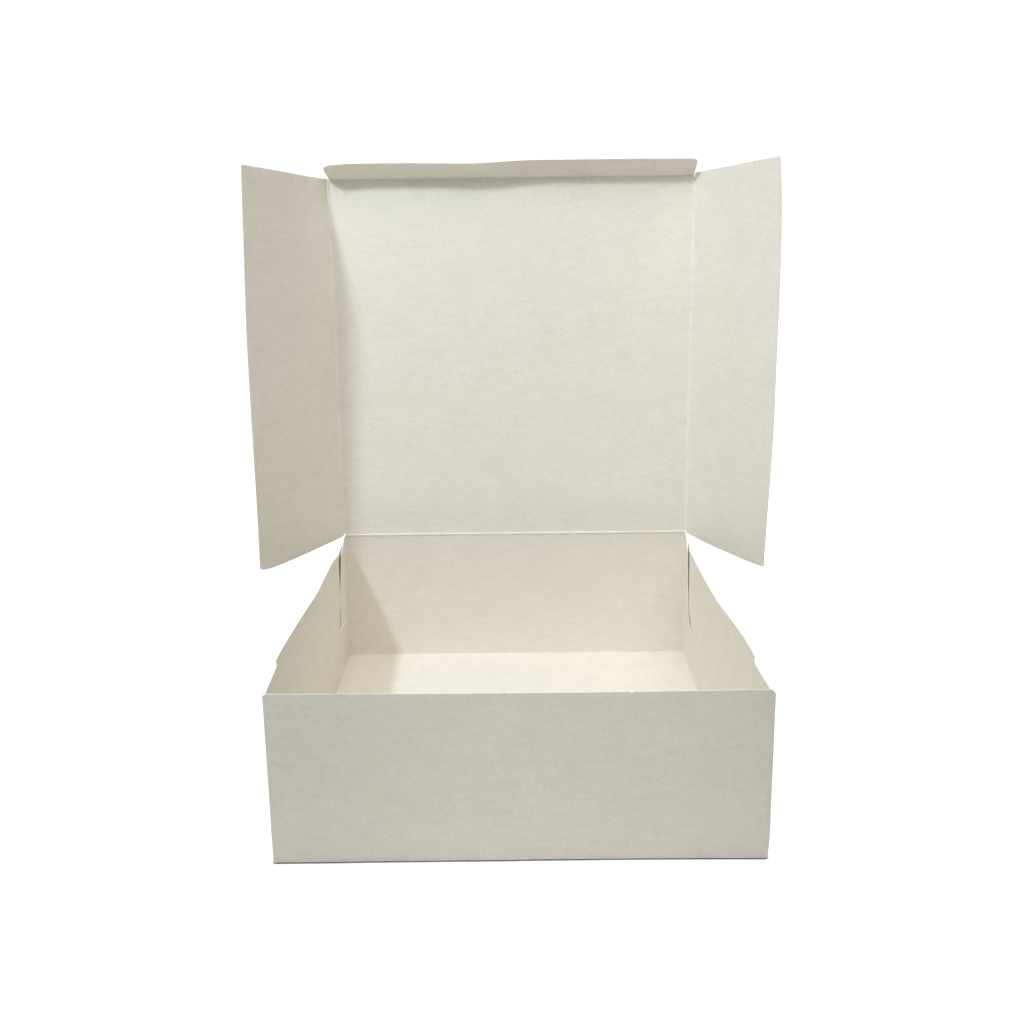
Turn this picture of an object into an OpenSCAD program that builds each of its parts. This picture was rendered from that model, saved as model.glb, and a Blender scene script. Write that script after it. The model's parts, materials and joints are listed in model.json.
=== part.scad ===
// Pastry box folded from one blank of paperboard: a tray with locked corners and a hinged lid.
// The lid stands open. The origin is the middle of the underside, with the front towards -Y.

/* [Tray] */
// Clear width inside the tray
inside_width = 203.2; // [120:0.1:320]
// Clear depth inside the tray, front to back
inside_depth = 203.2; // [120:0.1:320]
// Clear height inside the tray
inside_height = 76.2; // [50:0.1:130]
// Thickness of the paperboard
board = 0.45; // [0.3:0.05:0.6]
// How far the side walls' rims lie below the front wall's rim
rim_drop = 1.6; // [1.6:0.1:6]
// Radius of the front wall's top corners
front_corner_r = 2.5; // [1:0.1:6]

/* [Lid] */
// Lean of the open lid behind upright, in degrees
lid_lean = 3; // [0:0.5:20]
// Width of the lid's side flaps, from the fold to the free edge
flap_width = 73; // [30:0.5:75]
// Fold of the left flap out of the lid's plane, in degrees
left_fold = 64; // [0:1:90]
// Fold of the right flap out of the lid's plane, in degrees
right_fold = 66; // [0:1:90]
// Radius of the flaps' free corners
flap_corner_r = 2; // [0.5:0.1:10]
// Length of the tuck flap at the lid's front edge
tuck_length = 14; // [8:0.5:30]
// Fold of the tuck flap out of the lid's plane, in degrees
tuck_fold = 54; // [0:1:90]
// Radius of the tuck flap's free corners
tuck_corner_r = 4; // [1:0.1:8]

/* [Corner locks] */
// Width of the tabs on the back wall
back_tab = 26; // [20:0.5:40]
// Width of the tabs on the front wall
front_tab = 35; // [24:0.5:45]
// Height of the half-lap slits in the back corners, above the table
slit_height = 25.5; // [15:0.5:45]
// Distance of the crossing of the two slits from the back corner
slit_cross = 12; // [6:0.5:18]
// Height of an open slit
slit_gap = 1.2; // [0.8:0.1:2]
// Length over which a side wall swings from inside a tab to outside it
ear_bend = 14; // [8:0.5:24]
// How far the side wall's ear outside the back tab lies below the front wall's rim
ear_drop = 4.8; // [4.6:0.1:10]
// How far the back tabs' top edges lie below the front wall's rim, at the fold
tab_drop = 3.5; // [3.4:0.1:8]
// Fall of a back tab's top and rise of a tab's lower edge, from the fold to the free edge
tab_taper = 1.6; // [0:0.1:6]
// Height of the tabs' lower edges above the table, at the fold
tab_foot = 1.5; // [0.5:0.1:6]
// Length of the hook in a side wall's rim, which is pulled out over the front tab
hook_length = 6; // [4:0.5:12]
// Height of that hook, from its slit to the rim
hook_depth = 2.4; // [1.5:0.1:5]
// Height over which the side wall twists below the hook
hook_twist = 6; // [3:0.5:12]
// How far the front tabs' top edges lie below the side walls' rims
front_tab_drop = 0.4; // [0.2:0.1:2]

/* [Clearances] */
// Gap between two layers of board that lie on each other
layer_gap = 0.1; // [0.05:0.05:0.3]
// Distance of a panel's edge from the line of its fold
fold_gap = 0.1; // [0.05:0.05:0.3]
// Gap between a folded lid flap and the side wall beside it
flap_clearance = 0.15; // [0.1:0.05:0.6]
// Gap between the folded tuck flap and the front wall
tuck_clearance = 0.45; // [0.2:0.05:1]
// Gap between a folded lid flap and the back wall, front wall or tuck flap
flap_end_gap = 0.6; // [0.5:0.05:1]

/* [Hidden] */
$fn = 48;

// Layers of board at a side of the tray, from the inside out
wall_in_x = inside_width / 2;
wall_out_x = wall_in_x + board;
tab_in_x = wall_out_x + layer_gap;
tab_out_x = tab_in_x + board;
ear_in_x = tab_out_x + layer_gap;
ear_out_x = ear_in_x + board;

// Front and back walls
front_in_y = -inside_depth / 2;
front_out_y = front_in_y - board;
back_in_y = inside_depth / 2;
back_out_y = back_in_y + board;

// Heights of the rims
front_top = board + inside_height;
side_top = front_top - rim_drop;
ear_top = front_top - ear_drop;
tab_top = front_top - tab_drop;

// Half-lap of a back corner
slit_low = slit_height - slit_gap / 2;
slit_high = slit_height + slit_gap / 2;
ear_y = back_in_y - back_tab;
bend_y = ear_y - ear_bend;
cross_y = back_in_y - slit_cross;

// Hook of a front corner
front_tab_y = front_in_y + front_tab;
hook_y = front_tab_y - hook_length;
hook_low = side_top - hook_depth;
twist_low = hook_low - hook_twist;
twist_y = front_tab_y + slit_gap;
calm_y = twist_y + ear_bend;

// Folds of the lid, which lies on the front wall's rim when it is closed
hinge_y = back_out_y;
hinge_z = front_top + fold_gap + board;
lid_length = hinge_y - front_in_y - tuck_clearance;
crease_x = wall_in_x - flap_clearance;
flap_rear = hinge_y - back_in_y + flap_end_gap;
flap_front = lid_length - board - flap_end_gap;

card_white = [0.90, 0.89, 0.85];
card_cream = [0.86, 0.84, 0.78];
eps = 0.01;

// An outline in Y and Z, made into a plate from x up to x + thick
module plate_across_x(x, thick) {
    translate([x, 0, 0])
        rotate([90, 0, 90])
            linear_extrude(thick)
                children();
}

// An outline in X and Z, made into a plate from y up to y + thick
module plate_across_y(y, thick) {
    translate([0, y + thick, 0])
        rotate([90, 0, 0])
            linear_extrude(thick)
                children();
}

// A rectangle from [0, 0] to [w, h] with its two upper corners rounded
module round_topped(w, h, r) {
    square([w, h - r]);
    translate([r, 0])
        square([w - 2 * r, h]);
    for (x = [r, w - r])
        translate([x, h - r])
            circle(r);
}

module on_both_sides() {
    children();
    mirror([1, 0, 0])
        children();
}

// The bottom panel of the tray
module floor_panel() {
    translate([-wall_out_x, front_out_y, 0])
        cube([2 * wall_out_x, back_out_y - front_out_y, board]);
}

// The front wall, as wide as the tabs that fold back from its ends
module front_wall() {
    plate_across_y(front_out_y, board)
        translate([-tab_out_x, 0])
            round_topped(2 * tab_out_x, front_top, front_corner_r);
}

// The back wall, mitred along the fold to the lid
module back_wall() {
    plate_across_x(-tab_out_x, 2 * tab_out_x)
        polygon([
            [back_in_y, 0],
            [back_out_y, 0],
            [back_out_y, hinge_z - fold_gap],
            [back_in_y, hinge_z - fold_gap - board],
        ]);
}

// Everything that the rim of a side wall leaves standing, seen from the side
module side_wall_outline() {
    polygon([
        [front_in_y + layer_gap, 0],
        [back_out_y, 0],
        [back_out_y, ear_top],
        [ear_y, ear_top],
        [bend_y, side_top],
        [front_in_y + layer_gap, side_top],
    ]);
}

// The part of a side wall that stays in one plane, inside the tabs
module side_wall_flat() {
    front_y = front_in_y + layer_gap;
    lip_y = back_in_y - layer_gap;
    plate_across_x(wall_in_x, board) {
        translate([front_y, 0])
            square([lip_y - front_y, slit_low]);
        translate([front_y, 0])
            square([bend_y - front_y, twist_low]);
        translate([front_y, 0])
            square([twist_y - front_y, hook_low - slit_gap / 2]);
        translate([front_y, 0])
            square([hook_y - slit_gap - front_y, side_top]);
        translate([calm_y, 0])
            square([bend_y - calm_y, side_top]);
    }
}

// Plan of a stretch of side wall that leaves the plane at y0 and lies outside the tab from y1 to y2
module swing_plan(y0, y1, y2) {
    polygon([
        [wall_in_x, y0],
        [ear_in_x, y1],
        [ear_in_x, y2],
        [ear_out_x, y2],
        [ear_out_x, y1],
        [wall_out_x, y0],
    ]);
}

// The upper rear end of a side wall, outside the back tab
module side_wall_ear() {
    translate([0, 0, slit_high])
        linear_extrude(side_top - slit_high)
            swing_plan(bend_y, ear_y, back_out_y);
}

// The piece of the rim that is hooked over the front tab
module side_wall_hook() {
    translate([0, 0, hook_low])
        linear_extrude(side_top - hook_low)
            swing_plan(calm_y, twist_y, hook_y);
}

// A short stretch of the board's section, at one place along the side wall
module wall_strip(x, y, z) {
    translate([x, y, z])
        cube([board, eps, eps]);
}

// The board between a lower edge in the plane of the wall and an upper edge outside it
module wall_twist(y0, x0, y1, x1, low, high) {
    hull() {
        wall_strip(wall_in_x, y0, low - eps);
        wall_strip(wall_in_x, y1 - eps, low - eps);
        wall_strip(x0, y0, high);
        wall_strip(x1, y1 - eps, high);
    }
}

// The side wall where it passes through the back tab's slit, and where it twists below the hook
module side_wall_crossings() {
    wall_twist(bend_y, wall_in_x, ear_y, ear_in_x, slit_low, slit_high);
    wall_twist(ear_y, ear_in_x, cross_y, ear_in_x, slit_low, slit_high);
    wall_twist(twist_y, ear_in_x, calm_y, wall_in_x, twist_low, hook_low);
}

// A side wall between two tabs, cut from the same blank as the floor
module side_wall() {
    intersection() {
        union() {
            side_wall_flat();
            side_wall_ear();
            side_wall_hook();
            side_wall_crossings();
        }
        plate_across_x(wall_in_x - eps, ear_out_x - wall_in_x + 2 * eps)
            side_wall_outline();
    }
}

// A tab on the back wall: inside the side wall above its slit, and outside below it
module back_lock_tab() {
    back_top = hinge_z - fold_gap - board;
    plate_across_x(tab_in_x, board)
        difference() {
            polygon([
                [back_out_y, tab_foot],
                [back_out_y, back_top],
                [back_in_y, back_top],
                [back_in_y - flap_end_gap, tab_top],
                [ear_y, tab_top - tab_taper],
                [ear_y, tab_foot + tab_taper],
            ]);
            polygon([
                [ear_y - eps, slit_low - slit_gap],
                [cross_y, slit_low],
                [cross_y, slit_high],
                [ear_y - eps, slit_high + slit_gap],
            ]);
        }
}

// A tab on the front wall, outside the side wall and inside the hook
module front_lock_tab() {
    top = side_top - front_tab_drop;
    plate_across_x(tab_in_x, board)
        polygon([
            [front_out_y, tab_foot],
            [front_out_y, front_top - front_corner_r],
            [front_in_y, top],
            [front_tab_y, top],
            [front_tab_y, tab_foot + tab_taper],
        ]);
}

module tray() {
    color(card_cream) {
        floor_panel();
        front_wall();
        back_wall();
        on_both_sides() {
            side_wall();
            back_lock_tab();
            front_lock_tab();
        }
    }
}

// The lid's own frame: X along the hinge, Y up the lid, Z towards its inside, at the lid's outer face
module on_lid() {
    translate([0, hinge_y, hinge_z])
        rotate([90 - lid_lean, 0, 0])
            children();
}

// A prism along the lid's Y with this section in X and Z
module along_lid(start, length) {
    translate([0, start + length, 0])
        rotate([90, 0, 0])
            linear_extrude(length)
                children();
}

// Section of a panel between two folds, mitred so that its neighbours can fold inwards
module two_fold_section(start, end) {
    polygon([[start, 0], [end, 0], [end - board, board], [start + board, board]]);
}

// Section of a flap from its fold to its free edge
module one_fold_section(end) {
    polygon([[fold_gap, 0], [end, 0], [end, board], [fold_gap + board, board]]);
}

module lid_panel() {
    side = crease_x - fold_gap;
    color(card_white)
        on_lid()
            intersection() {
                along_lid(0, lid_length)
                    two_fold_section(-side, side);
                plate_across_x(-side, 2 * side)
                    two_fold_section(fold_gap, lid_length - fold_gap);
            }
}

// A lid flap lying flat beside the lid, with its fold on the Y axis
module flap_blank() {
    intersection() {
        along_lid(flap_rear, flap_front - flap_rear)
            one_fold_section(flap_width);
        linear_extrude(board)
            translate([0, flap_front])
                rotate(-90)
                    round_topped(flap_front - flap_rear, flap_width, flap_corner_r);
    }
}

module folded_flap(fold) {
    translate([crease_x, 0, 0])
        rotate([0, -fold, 0])
            flap_blank();
}

module left_lid_flap() {
    color(card_white)
        on_lid()
            mirror([1, 0, 0])
                folded_flap(left_fold);
}

module right_lid_flap() {
    color(card_white)
        on_lid()
            folded_flap(right_fold);
}

module tuck_flap() {
    side = crease_x - flap_end_gap;
    color(card_white)
        on_lid()
            translate([0, lid_length, 0])
                rotate([tuck_fold, 0, 0])
                    intersection() {
                        plate_across_x(-side, 2 * side)
                            one_fold_section(tuck_length);
                        linear_extrude(board)
                            translate([-side, 0])
                                round_topped(2 * side, tuck_length, tuck_corner_r);
                    }
}

tray();
lid_panel();
left_lid_flap();
right_lid_flap();
tuck_flap();
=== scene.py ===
"""Dresses the pastry box in folded sheets of board with creases, bows, locks and cut edges"""

import json
import math

import bmesh
import bpy
from mathutils import Matrix, Vector


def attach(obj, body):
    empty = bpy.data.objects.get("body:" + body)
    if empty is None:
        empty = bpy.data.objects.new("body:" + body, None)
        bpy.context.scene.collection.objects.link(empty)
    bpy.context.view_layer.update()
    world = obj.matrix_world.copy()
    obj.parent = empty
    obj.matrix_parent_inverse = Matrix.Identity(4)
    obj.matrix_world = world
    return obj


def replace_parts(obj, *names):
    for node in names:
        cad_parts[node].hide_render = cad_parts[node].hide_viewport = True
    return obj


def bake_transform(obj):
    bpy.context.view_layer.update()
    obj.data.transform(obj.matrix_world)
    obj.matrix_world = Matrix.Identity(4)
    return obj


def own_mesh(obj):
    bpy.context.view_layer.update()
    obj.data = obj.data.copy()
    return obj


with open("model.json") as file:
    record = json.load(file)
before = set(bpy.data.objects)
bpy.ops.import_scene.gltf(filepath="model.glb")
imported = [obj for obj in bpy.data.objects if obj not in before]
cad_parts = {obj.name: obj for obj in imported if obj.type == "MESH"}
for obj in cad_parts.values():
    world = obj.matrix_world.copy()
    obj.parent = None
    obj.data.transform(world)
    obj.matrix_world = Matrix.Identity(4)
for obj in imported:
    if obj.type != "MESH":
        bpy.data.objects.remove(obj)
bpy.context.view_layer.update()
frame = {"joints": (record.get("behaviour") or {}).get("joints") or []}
JOINTS = {joint["name"]: joint for joint in frame["joints"]}
FLAP_FOLD = {side: JOINTS[side + "_flap_fold"] for side in ("left", "right")}
TUCK_FOLD = JOINTS["tuck_fold"]

# Sheets are drawn in millimetres and made in metres
TO_MM, TO_METRES = 1000.0, 0.001
HINGE = Vector(JOINTS["lid_hinge"]["pos_m"]) * TO_MM
CREASE_X = abs(FLAP_FOLD["left"]["pos_m"][0]) * TO_MM

bl_info = {
    "name": "Pastry box",
    "version": (1, 0, 0),
    "blender": (4, 5, 0),
    "location": "3D View > Sidebar > Pastry box",
    "description": "Builds an open pastry box of folded paperboard around its packed solids",
    "category": "Add Mesh",
}


# Settings


class BoxSizes(bpy.types.PropertyGroup):
    """Sizes of the box in millimetres"""

    inside_width: bpy.props.FloatProperty(
        name="Inside width", description="Clear width between the side walls", default=203.2
    )
    inside_depth: bpy.props.FloatProperty(
        name="Inside depth",
        description="Clear depth between the front and back walls",
        default=203.2,
    )
    inside_height: bpy.props.FloatProperty(
        name="Inside height",
        description="Height of the front wall above the floor",
        default=76.2,
    )
    board: bpy.props.FloatProperty(
        name="Board", description="Thickness of the paperboard", default=0.45
    )
    layer_gap: bpy.props.FloatProperty(
        name="Layer gap",
        description="Gap between layers of board in a corner lock",
        default=0.1,
    )
    rim_drop: bpy.props.FloatProperty(
        name="Rim drop",
        description="How far the side walls' rims lie below the front wall's",
        default=1.6,
    )
    fold_radius: bpy.props.FloatProperty(
        name="Fold radius", description="Inner radius of the tray's folds", default=0.1
    )
    # The band up to this height above the tray's lower folds takes the lighter crease colour:
    # crushed fibres and a painted highlight along the fold.
    crease: bpy.props.FloatProperty(
        name="Crease",
        description="Height of the crushed fibres above the tray's lower folds",
        default=0.6,
    )
    back_tab: bpy.props.FloatProperty(
        name="Back tab", description="Width of the tabs on the back wall", default=26.0
    )
    front_tab: bpy.props.FloatProperty(
        name="Front tab", description="Width of the tabs on the front wall", default=35.0
    )
    slit_height: bpy.props.FloatProperty(
        name="Slit height",
        description="Height of the half-lap slits above the table",
        default=25.5,
    )
    hook_depth: bpy.props.FloatProperty(
        name="Hook depth",
        description="Height of the hook, from its slit to the rim",
        default=2.4,
    )
    flap_width: bpy.props.FloatProperty(
        name="Flap width", description="Width of the lid's side flaps", default=73.0
    )
    tuck_length: bpy.props.FloatProperty(
        name="Tuck length", description="Length of the tuck flap", default=14.0
    )
    front_bulge: bpy.props.FloatProperty(
        name="Front bulge",
        description="How far the front wall bulges forward at its rim",
        default=1.1,
    )
    cell: bpy.props.FloatProperty(
        name="Cell", description="Spacing of the mesh on a sheet", default=4.0
    )


class BoardColours(bpy.types.PropertyGroup):
    """Colours of the paperboard"""

    # The tray's inner face is the same board as the lid's; its colour is set a little lighter as
    # painted light for the tray's interior.
    tray_inside: bpy.props.FloatVectorProperty(
        name="Tray inside",
        description="Colour of the tray's inner face",
        subtype="COLOR",
        size=3,
        default=(0.872, 0.83, 0.742),
    )
    lid_inside: bpy.props.FloatVectorProperty(
        name="Lid inside",
        description="Colour of the inner face of the lid and its flaps",
        subtype="COLOR",
        size=3,
        default=(0.86, 0.822, 0.735),
    )
    # The outer face's colour is darker than the inner faces' as painted shade, set to match the
    # weaker light on the front wall.
    outside: bpy.props.FloatVectorProperty(
        name="Outside",
        description="Colour of the outer face",
        subtype="COLOR",
        size=3,
        default=(0.765, 0.714, 0.622),
    )
    cut_edge: bpy.props.FloatVectorProperty(
        name="Cut edge",
        description="Colour of the cut edge",
        subtype="COLOR",
        size=3,
        default=(0.94, 0.93, 0.89),
    )
    # The crease colour is lighter than the faces: partly crushed fibres, partly a painted highlight
    # where a fold's rounding would catch light.
    creased: bpy.props.FloatVectorProperty(
        name="Crease",
        description="Colour of the crushed fibres along a fold",
        subtype="COLOR",
        size=3,
        default=(0.89, 0.87, 0.805),
    )
    speck: bpy.props.FloatVectorProperty(
        name="Specks",
        description="Colour of the dark flecks in the board",
        subtype="COLOR",
        size=3,
        default=(0.42, 0.37, 0.28),
    )


class StudioSettings(bpy.types.PropertyGroup):
    """Light and camera of the stage"""

    ambient: bpy.props.FloatProperty(
        name="Ambient", description="Strength of the light from all round", default=0.05
    )
    left_window: bpy.props.FloatProperty(
        name="Left window",
        description="Strength of the broad warm light from the left",
        default=0.3,
    )
    back_window: bpy.props.FloatProperty(
        name="Back window", description="Strength of the broad light from behind", default=0.6
    )
    key_power: bpy.props.FloatProperty(
        name="Key power",
        description="Power of the lamp above on the left",
        unit="POWER",
        default=3.65,
    )
    fill_power: bpy.props.FloatProperty(
        name="Fill power",
        description="Power of the broad lamp above",
        unit="POWER",
        default=3.65,
    )
    front_power: bpy.props.FloatProperty(
        name="Front power",
        description="Power of the soft spot on the front wall",
        unit="POWER",
        default=0.9,
    )
    focal_length: bpy.props.FloatProperty(
        name="Focal length",
        description="Focal length of the camera in millimetres",
        default=35.87,
    )


class PastryBoxSettings(bpy.types.PropertyGroup):
    """Everything that a user may change"""

    sizes: bpy.props.PointerProperty(type=BoxSizes)
    colours: bpy.props.PointerProperty(type=BoardColours)
    studio: bpy.props.PointerProperty(type=StudioSettings)


# Numbers


def ease(start, end, x):
    """A smooth step from 0 at start to 1 at end"""
    t = min(1.0, max(0.0, (x - start) / (end - start)))
    return t * t * (3.0 - 2.0 * t)


def curve_through(points, x):
    """The value at x of a smooth curve through pairs of x and value, in rising order of x"""
    last = len(points) - 1
    if x <= points[0][0]:
        return points[0][1]
    if x >= points[last][0]:
        return points[last][1]
    i = max(k for k in range(last) if points[k][0] <= x)

    def slope(k):
        low, high = max(0, k - 1), min(last, k + 1)
        return (points[high][1] - points[low][1]) / (points[high][0] - points[low][0])

    span = points[i + 1][0] - points[i][0]
    t = (x - points[i][0]) / span
    start, end = points[i][1], points[i + 1][1]
    return (
        start * (1 + 2 * t) * (1 - t) ** 2
        + end * t * t * (3 - 2 * t)
        + slope(i) * span * t * (1 - t) ** 2
        - slope(i + 1) * span * t * t * (1 - t)
    )


# Sheets of board

INSIDE, OUTSIDE, CUT_EDGE, CREASED = range(4)
# Steps of a rounded corner in degrees, and the angle from which an edge is sharp
CORNER_STEPS = (15, 30, 45, 60, 75)
SHARP = math.radians(40)


def blank_sheet(x0, x1, y0, y1, cell, x_scores=(), y_scores=()):
    """A flat sheet in X and Y, facing up, with extra lines of mesh where it is scored"""
    bm = bmesh.new()
    bmesh.ops.create_grid(
        bm,
        x_segments=max(1, round((x1 - x0) / cell)),
        y_segments=max(1, round((y1 - y0) / cell)),
        size=0.5,
    )
    bmesh.ops.scale(bm, vec=(x1 - x0, y1 - y0, 1.0), verts=bm.verts[:])
    bmesh.ops.translate(bm, vec=((x0 + x1) / 2, (y0 + y1) / 2, 0.0), verts=bm.verts[:])
    for x in x_scores:
        score(bm, (x, 0, 0), (1, 0, 0))
    for y in y_scores:
        score(bm, (0, y, 0), (0, 1, 0))
    return bm


def anywhere(point):
    """The whole sheet"""
    return True


def score(bm, point, normal, where=anywhere):
    """Cuts the mesh of the sheet along a line, in the part of it that is asked for"""
    faces = [f for f in bm.faces if where(f.calc_center_median())]
    edges = dict.fromkeys(e for f in faces for e in f.edges)
    verts = dict.fromkeys(v for f in faces for v in f.verts)
    bmesh.ops.bisect_plane(
        bm, geom=[*faces, *edges, *verts], dist=1e-4, plane_co=point, plane_no=normal
    )


def remove(bm, where):
    """Cuts a piece out of the sheet"""
    gone = [f for f in bm.faces if where(f.calc_center_median())]
    bmesh.ops.delete(bm, geom=gone, context="FACES")


def trim(bm, point, normal, where=anywhere):
    """Cuts off what lies beyond a line, in the part of the sheet that is asked for"""
    point, normal = Vector(point), Vector(normal)
    score(bm, point, normal, where)
    remove(bm, lambda c: where(c) and (c - point).dot(normal) > 0)


def round_corner(bm, x, y, radius, x_side, y_side):
    """Rounds a corner of the sheet at x and y, which points towards x_side and y_side"""
    centre = Vector((x - x_side * radius, y - y_side * radius, 0.0))

    def near(c):
        return (c.x - centre.x) * x_side > 0 and (c.y - centre.y) * y_side > 0

    score(bm, (centre.x, 0, 0), (1, 0, 0))
    score(bm, (0, centre.y, 0), (0, 1, 0))
    for degrees in CORNER_STEPS:
        a = math.radians(degrees)
        outward = Vector((x_side * math.cos(a), y_side * math.sin(a), 0.0))
        trim(bm, centre + outward * radius, outward, near)


def shape(bm, move):
    """Moves each point of the sheet to where move puts it"""
    for vert in bm.verts:
        vert.co = move(vert.co.copy())


def crease_marks(bm):
    """The layer that marks the faces crushed in a fold, which are painted lighter as crushed fibres
    and a painted highlight
    """
    return bm.faces.layers.int.get("creased") or bm.faces.layers.int.new("creased")


def mark_creased(bm, where):
    """Marks the part of the sheet that is crushed in a fold and painted lighter, as crushed fibres
    and a painted highlight
    """
    marks = crease_marks(bm)
    for face in bm.faces:
        if where(face.calc_center_median()):
            face[marks] = 1


def sheet_piece(
    context, name, bm, body, slot, place=Matrix.Identity(4), flip=False, thickness=None
):
    """Gives an inner face its thickness, marks both faces and the cut edge, and makes the piece"""
    sizes = context.scene.pastry_box.sizes
    marks = crease_marks(bm)
    if flip:
        bmesh.ops.reverse_faces(bm, faces=bm.faces[:])
    bm.normal_update()
    inner = set(bm.verts)
    bmesh.ops.solidify(bm, geom=bm.faces[:], thickness=thickness or sizes.board)
    for face in bm.faces:
        kept = sum(v in inner for v in face.verts)
        face.smooth = True
        face.material_index = CUT_EDGE
        if kept == len(face.verts):
            face.material_index = INSIDE
        elif kept == 0:
            face.material_index = OUTSIDE
        # Faces in a fold take the lighter crease colour: crushed fibres and a painted highlight
        # along the fold.
        if face[marks] and face.material_index != CUT_EDGE:
            face.material_index = CREASED
    bm.faces.layers.int.remove(marks)
    bm.normal_update()
    for edge in bm.edges:
        rim = [f.material_index == CUT_EDGE for f in edge.link_faces]
        edge.smooth = all(rim) == any(rim) and edge.calc_face_angle(0.0) < SHARP
    bmesh.ops.transform(bm, matrix=Matrix.Scale(TO_METRES, 4) @ place, verts=bm.verts[:])
    mesh = bpy.data.meshes.new(name)
    bm.to_mesh(mesh)
    bm.free()
    for material in board_materials(context, slot):
        mesh.materials.append(material)
    piece = bpy.data.objects.new(name, mesh)
    context.collection.objects.link(piece)
    if body:
        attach(piece, body)
    return piece


# Paperboard

# How much a face and a cut edge or fold vary in shade
FACE_MOTTLE, EDGE_MOTTLE = 0.042, 0.05


def board_materials(context, slot):
    """The materials of inner face, outer face, cut edge and folds, in the order of their slots"""
    colours = context.scene.pastry_box.colours
    inner = "tray_inside" if slot == "tray_card" else "lid_inside"
    return [
        paperboard(part + "_board", getattr(colours, part), colours.speck, mottle)
        for part, mottle in (
            (inner, FACE_MOTTLE),
            ("outside", FACE_MOTTLE),
            ("cut_edge", EDGE_MOTTLE),
            ("creased", EDGE_MOTTLE),
        )
    ]


def reckon(tree, operation, first, second):
    """A Math node's result for a socket and a second socket or a number"""
    node = tree.nodes.new("ShaderNodeMath")
    node.operation = operation
    tree.links.new(first, node.inputs[0])
    if isinstance(second, float):
        node.inputs[1].default_value = second
    else:
        tree.links.new(second, node.inputs[1])
    return node.outputs["Value"]


def paperboard(name, colour, speck, mottle):
    """Uncoated white board: cloudy pulp, short fibres, a few dark flecks and a faint tooth"""
    made = bpy.data.materials.get(name)
    if made:
        return made
    made = bpy.data.materials.new(name)
    made.use_nodes = True
    nodes, links = made.node_tree.nodes, made.node_tree.links
    shader = nodes["Principled BSDF"]
    shader.inputs["Specular IOR Level"].default_value = 0.25
    coords = nodes.new("ShaderNodeTexCoord")

    def noise(scale, detail, stretch=(1.0, 1.0, 1.0)):
        mapping = nodes.new("ShaderNodeMapping")
        mapping.inputs["Scale"].default_value = stretch
        links.new(coords.outputs["Object"], mapping.inputs["Vector"])
        texture = nodes.new("ShaderNodeTexNoise")
        texture.inputs["Scale"].default_value = scale
        texture.inputs["Detail"].default_value = detail
        links.new(mapping.outputs["Vector"], texture.inputs["Vector"])
        return texture.outputs["Fac"]

    def spread(value, low, high, to_low, to_high):
        node = nodes.new("ShaderNodeMapRange")
        node.inputs["From Min"].default_value = low
        node.inputs["From Max"].default_value = high
        node.inputs["To Min"].default_value = to_low
        node.inputs["To Max"].default_value = to_high
        links.new(value, node.inputs["Value"])
        return node.outputs["Result"]

    def vary(value, middle, amount):
        return spread(value, 0.25, 0.75, middle - amount, middle + amount)

    def add(first, second):
        return reckon(made.node_tree, "ADD", first, second)

    clouds = noise(60.0, 3.0)
    streaks = noise(420.0, 3.0, stretch=(0.25, 0.25, 1.0))
    pulp = noise(620.0, 4.0)
    fibres = noise(1500.0, 2.0, stretch=(0.35, 0.35, 1.0))
    flecks = noise(760.0, 1.0)

    broad = add(vary(clouds, 1.0, mottle * 0.4), vary(streaks, 0.0, mottle * 0.6))
    shade = add(broad, vary(pulp, 0.0, mottle))
    tint = nodes.new("ShaderNodeMix")
    tint.data_type = "RGBA"
    tint.blend_type = "MULTIPLY"
    tint.inputs["Factor"].default_value = 1.0
    tint.inputs["A"].default_value = (*colour, 1.0)
    links.new(shade, tint.inputs["B"])
    dotted = nodes.new("ShaderNodeMix")
    dotted.data_type = "RGBA"
    dotted.inputs["B"].default_value = (*speck, 1.0)
    links.new(spread(flecks, 0.775, 0.82, 0.0, 0.55), dotted.inputs["Factor"])
    links.new(tint.outputs["Result"], dotted.inputs["A"])
    links.new(dotted.outputs["Result"], shader.inputs["Base Color"])
    links.new(spread(pulp, 0.2, 0.8, 0.82, 0.95), shader.inputs["Roughness"])
    bump = nodes.new("ShaderNodeBump")
    bump.inputs["Strength"].default_value = 0.12
    bump.inputs["Distance"].default_value = 0.0002
    links.new(add(pulp, fibres), bump.inputs["Height"])
    links.new(bump.outputs["Normal"], shader.inputs["Normal"])
    return made


# The tray

# From the front wall's rim down to the top of a side wall's ear
EAR_DROP = 4.8
# How far before the back tab's free edge a side wall starts to bend to its ear
EAR_BEND = 14.0
# From the back wall to where the slits of a back tab and an ear cross
CROSSING = 12.0
# From the back tab's free edge to the start of the ear's slit
SLIT_START = 0.8
# A side wall's slit at the crossing, above the slit height, and its slant
LAP_RISE, LAP_SLANT = 0.6, 0.1
# The hook's slit: how far it lies before the front tab's end, how far it runs below the hook,
# its width, and the length and fall of the rim that slopes down in front of it
NOTCH_BEFORE, NOTCH_BELOW, NOTCH_WIDTH, NOTCH_RUN, NOTCH_FALL = 0.1, 2.2, 0.35, 6.0, 1.9


class Tray:
    """Places in the tray, in millimetres, worked out from its sizes"""

    def __init__(self, sizes):
        self.half = sizes.inside_width / 2
        self.deep = sizes.inside_depth / 2
        self.tab_in = self.half + sizes.board + sizes.layer_gap
        self.front_top = sizes.board + sizes.inside_height
        self.side_top = self.front_top - sizes.rim_drop
        self.ear_top = self.front_top - EAR_DROP
        self.ear_y = self.deep - sizes.back_tab
        self.bend_y = self.ear_y - EAR_BEND
        self.cross_y = self.deep - CROSSING
        self.slit = sizes.slit_height
        self.slit_start = self.ear_y + SLIT_START
        self.notch_y = -self.deep + sizes.front_tab - NOTCH_BEFORE
        self.notch_low = self.side_top - sizes.hook_depth - NOTCH_BELOW

    def lap(self, y):
        """Height of a side wall's slanting slit at y"""
        return self.slit + LAP_RISE + LAP_SLANT * (self.cross_y - y)


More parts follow.
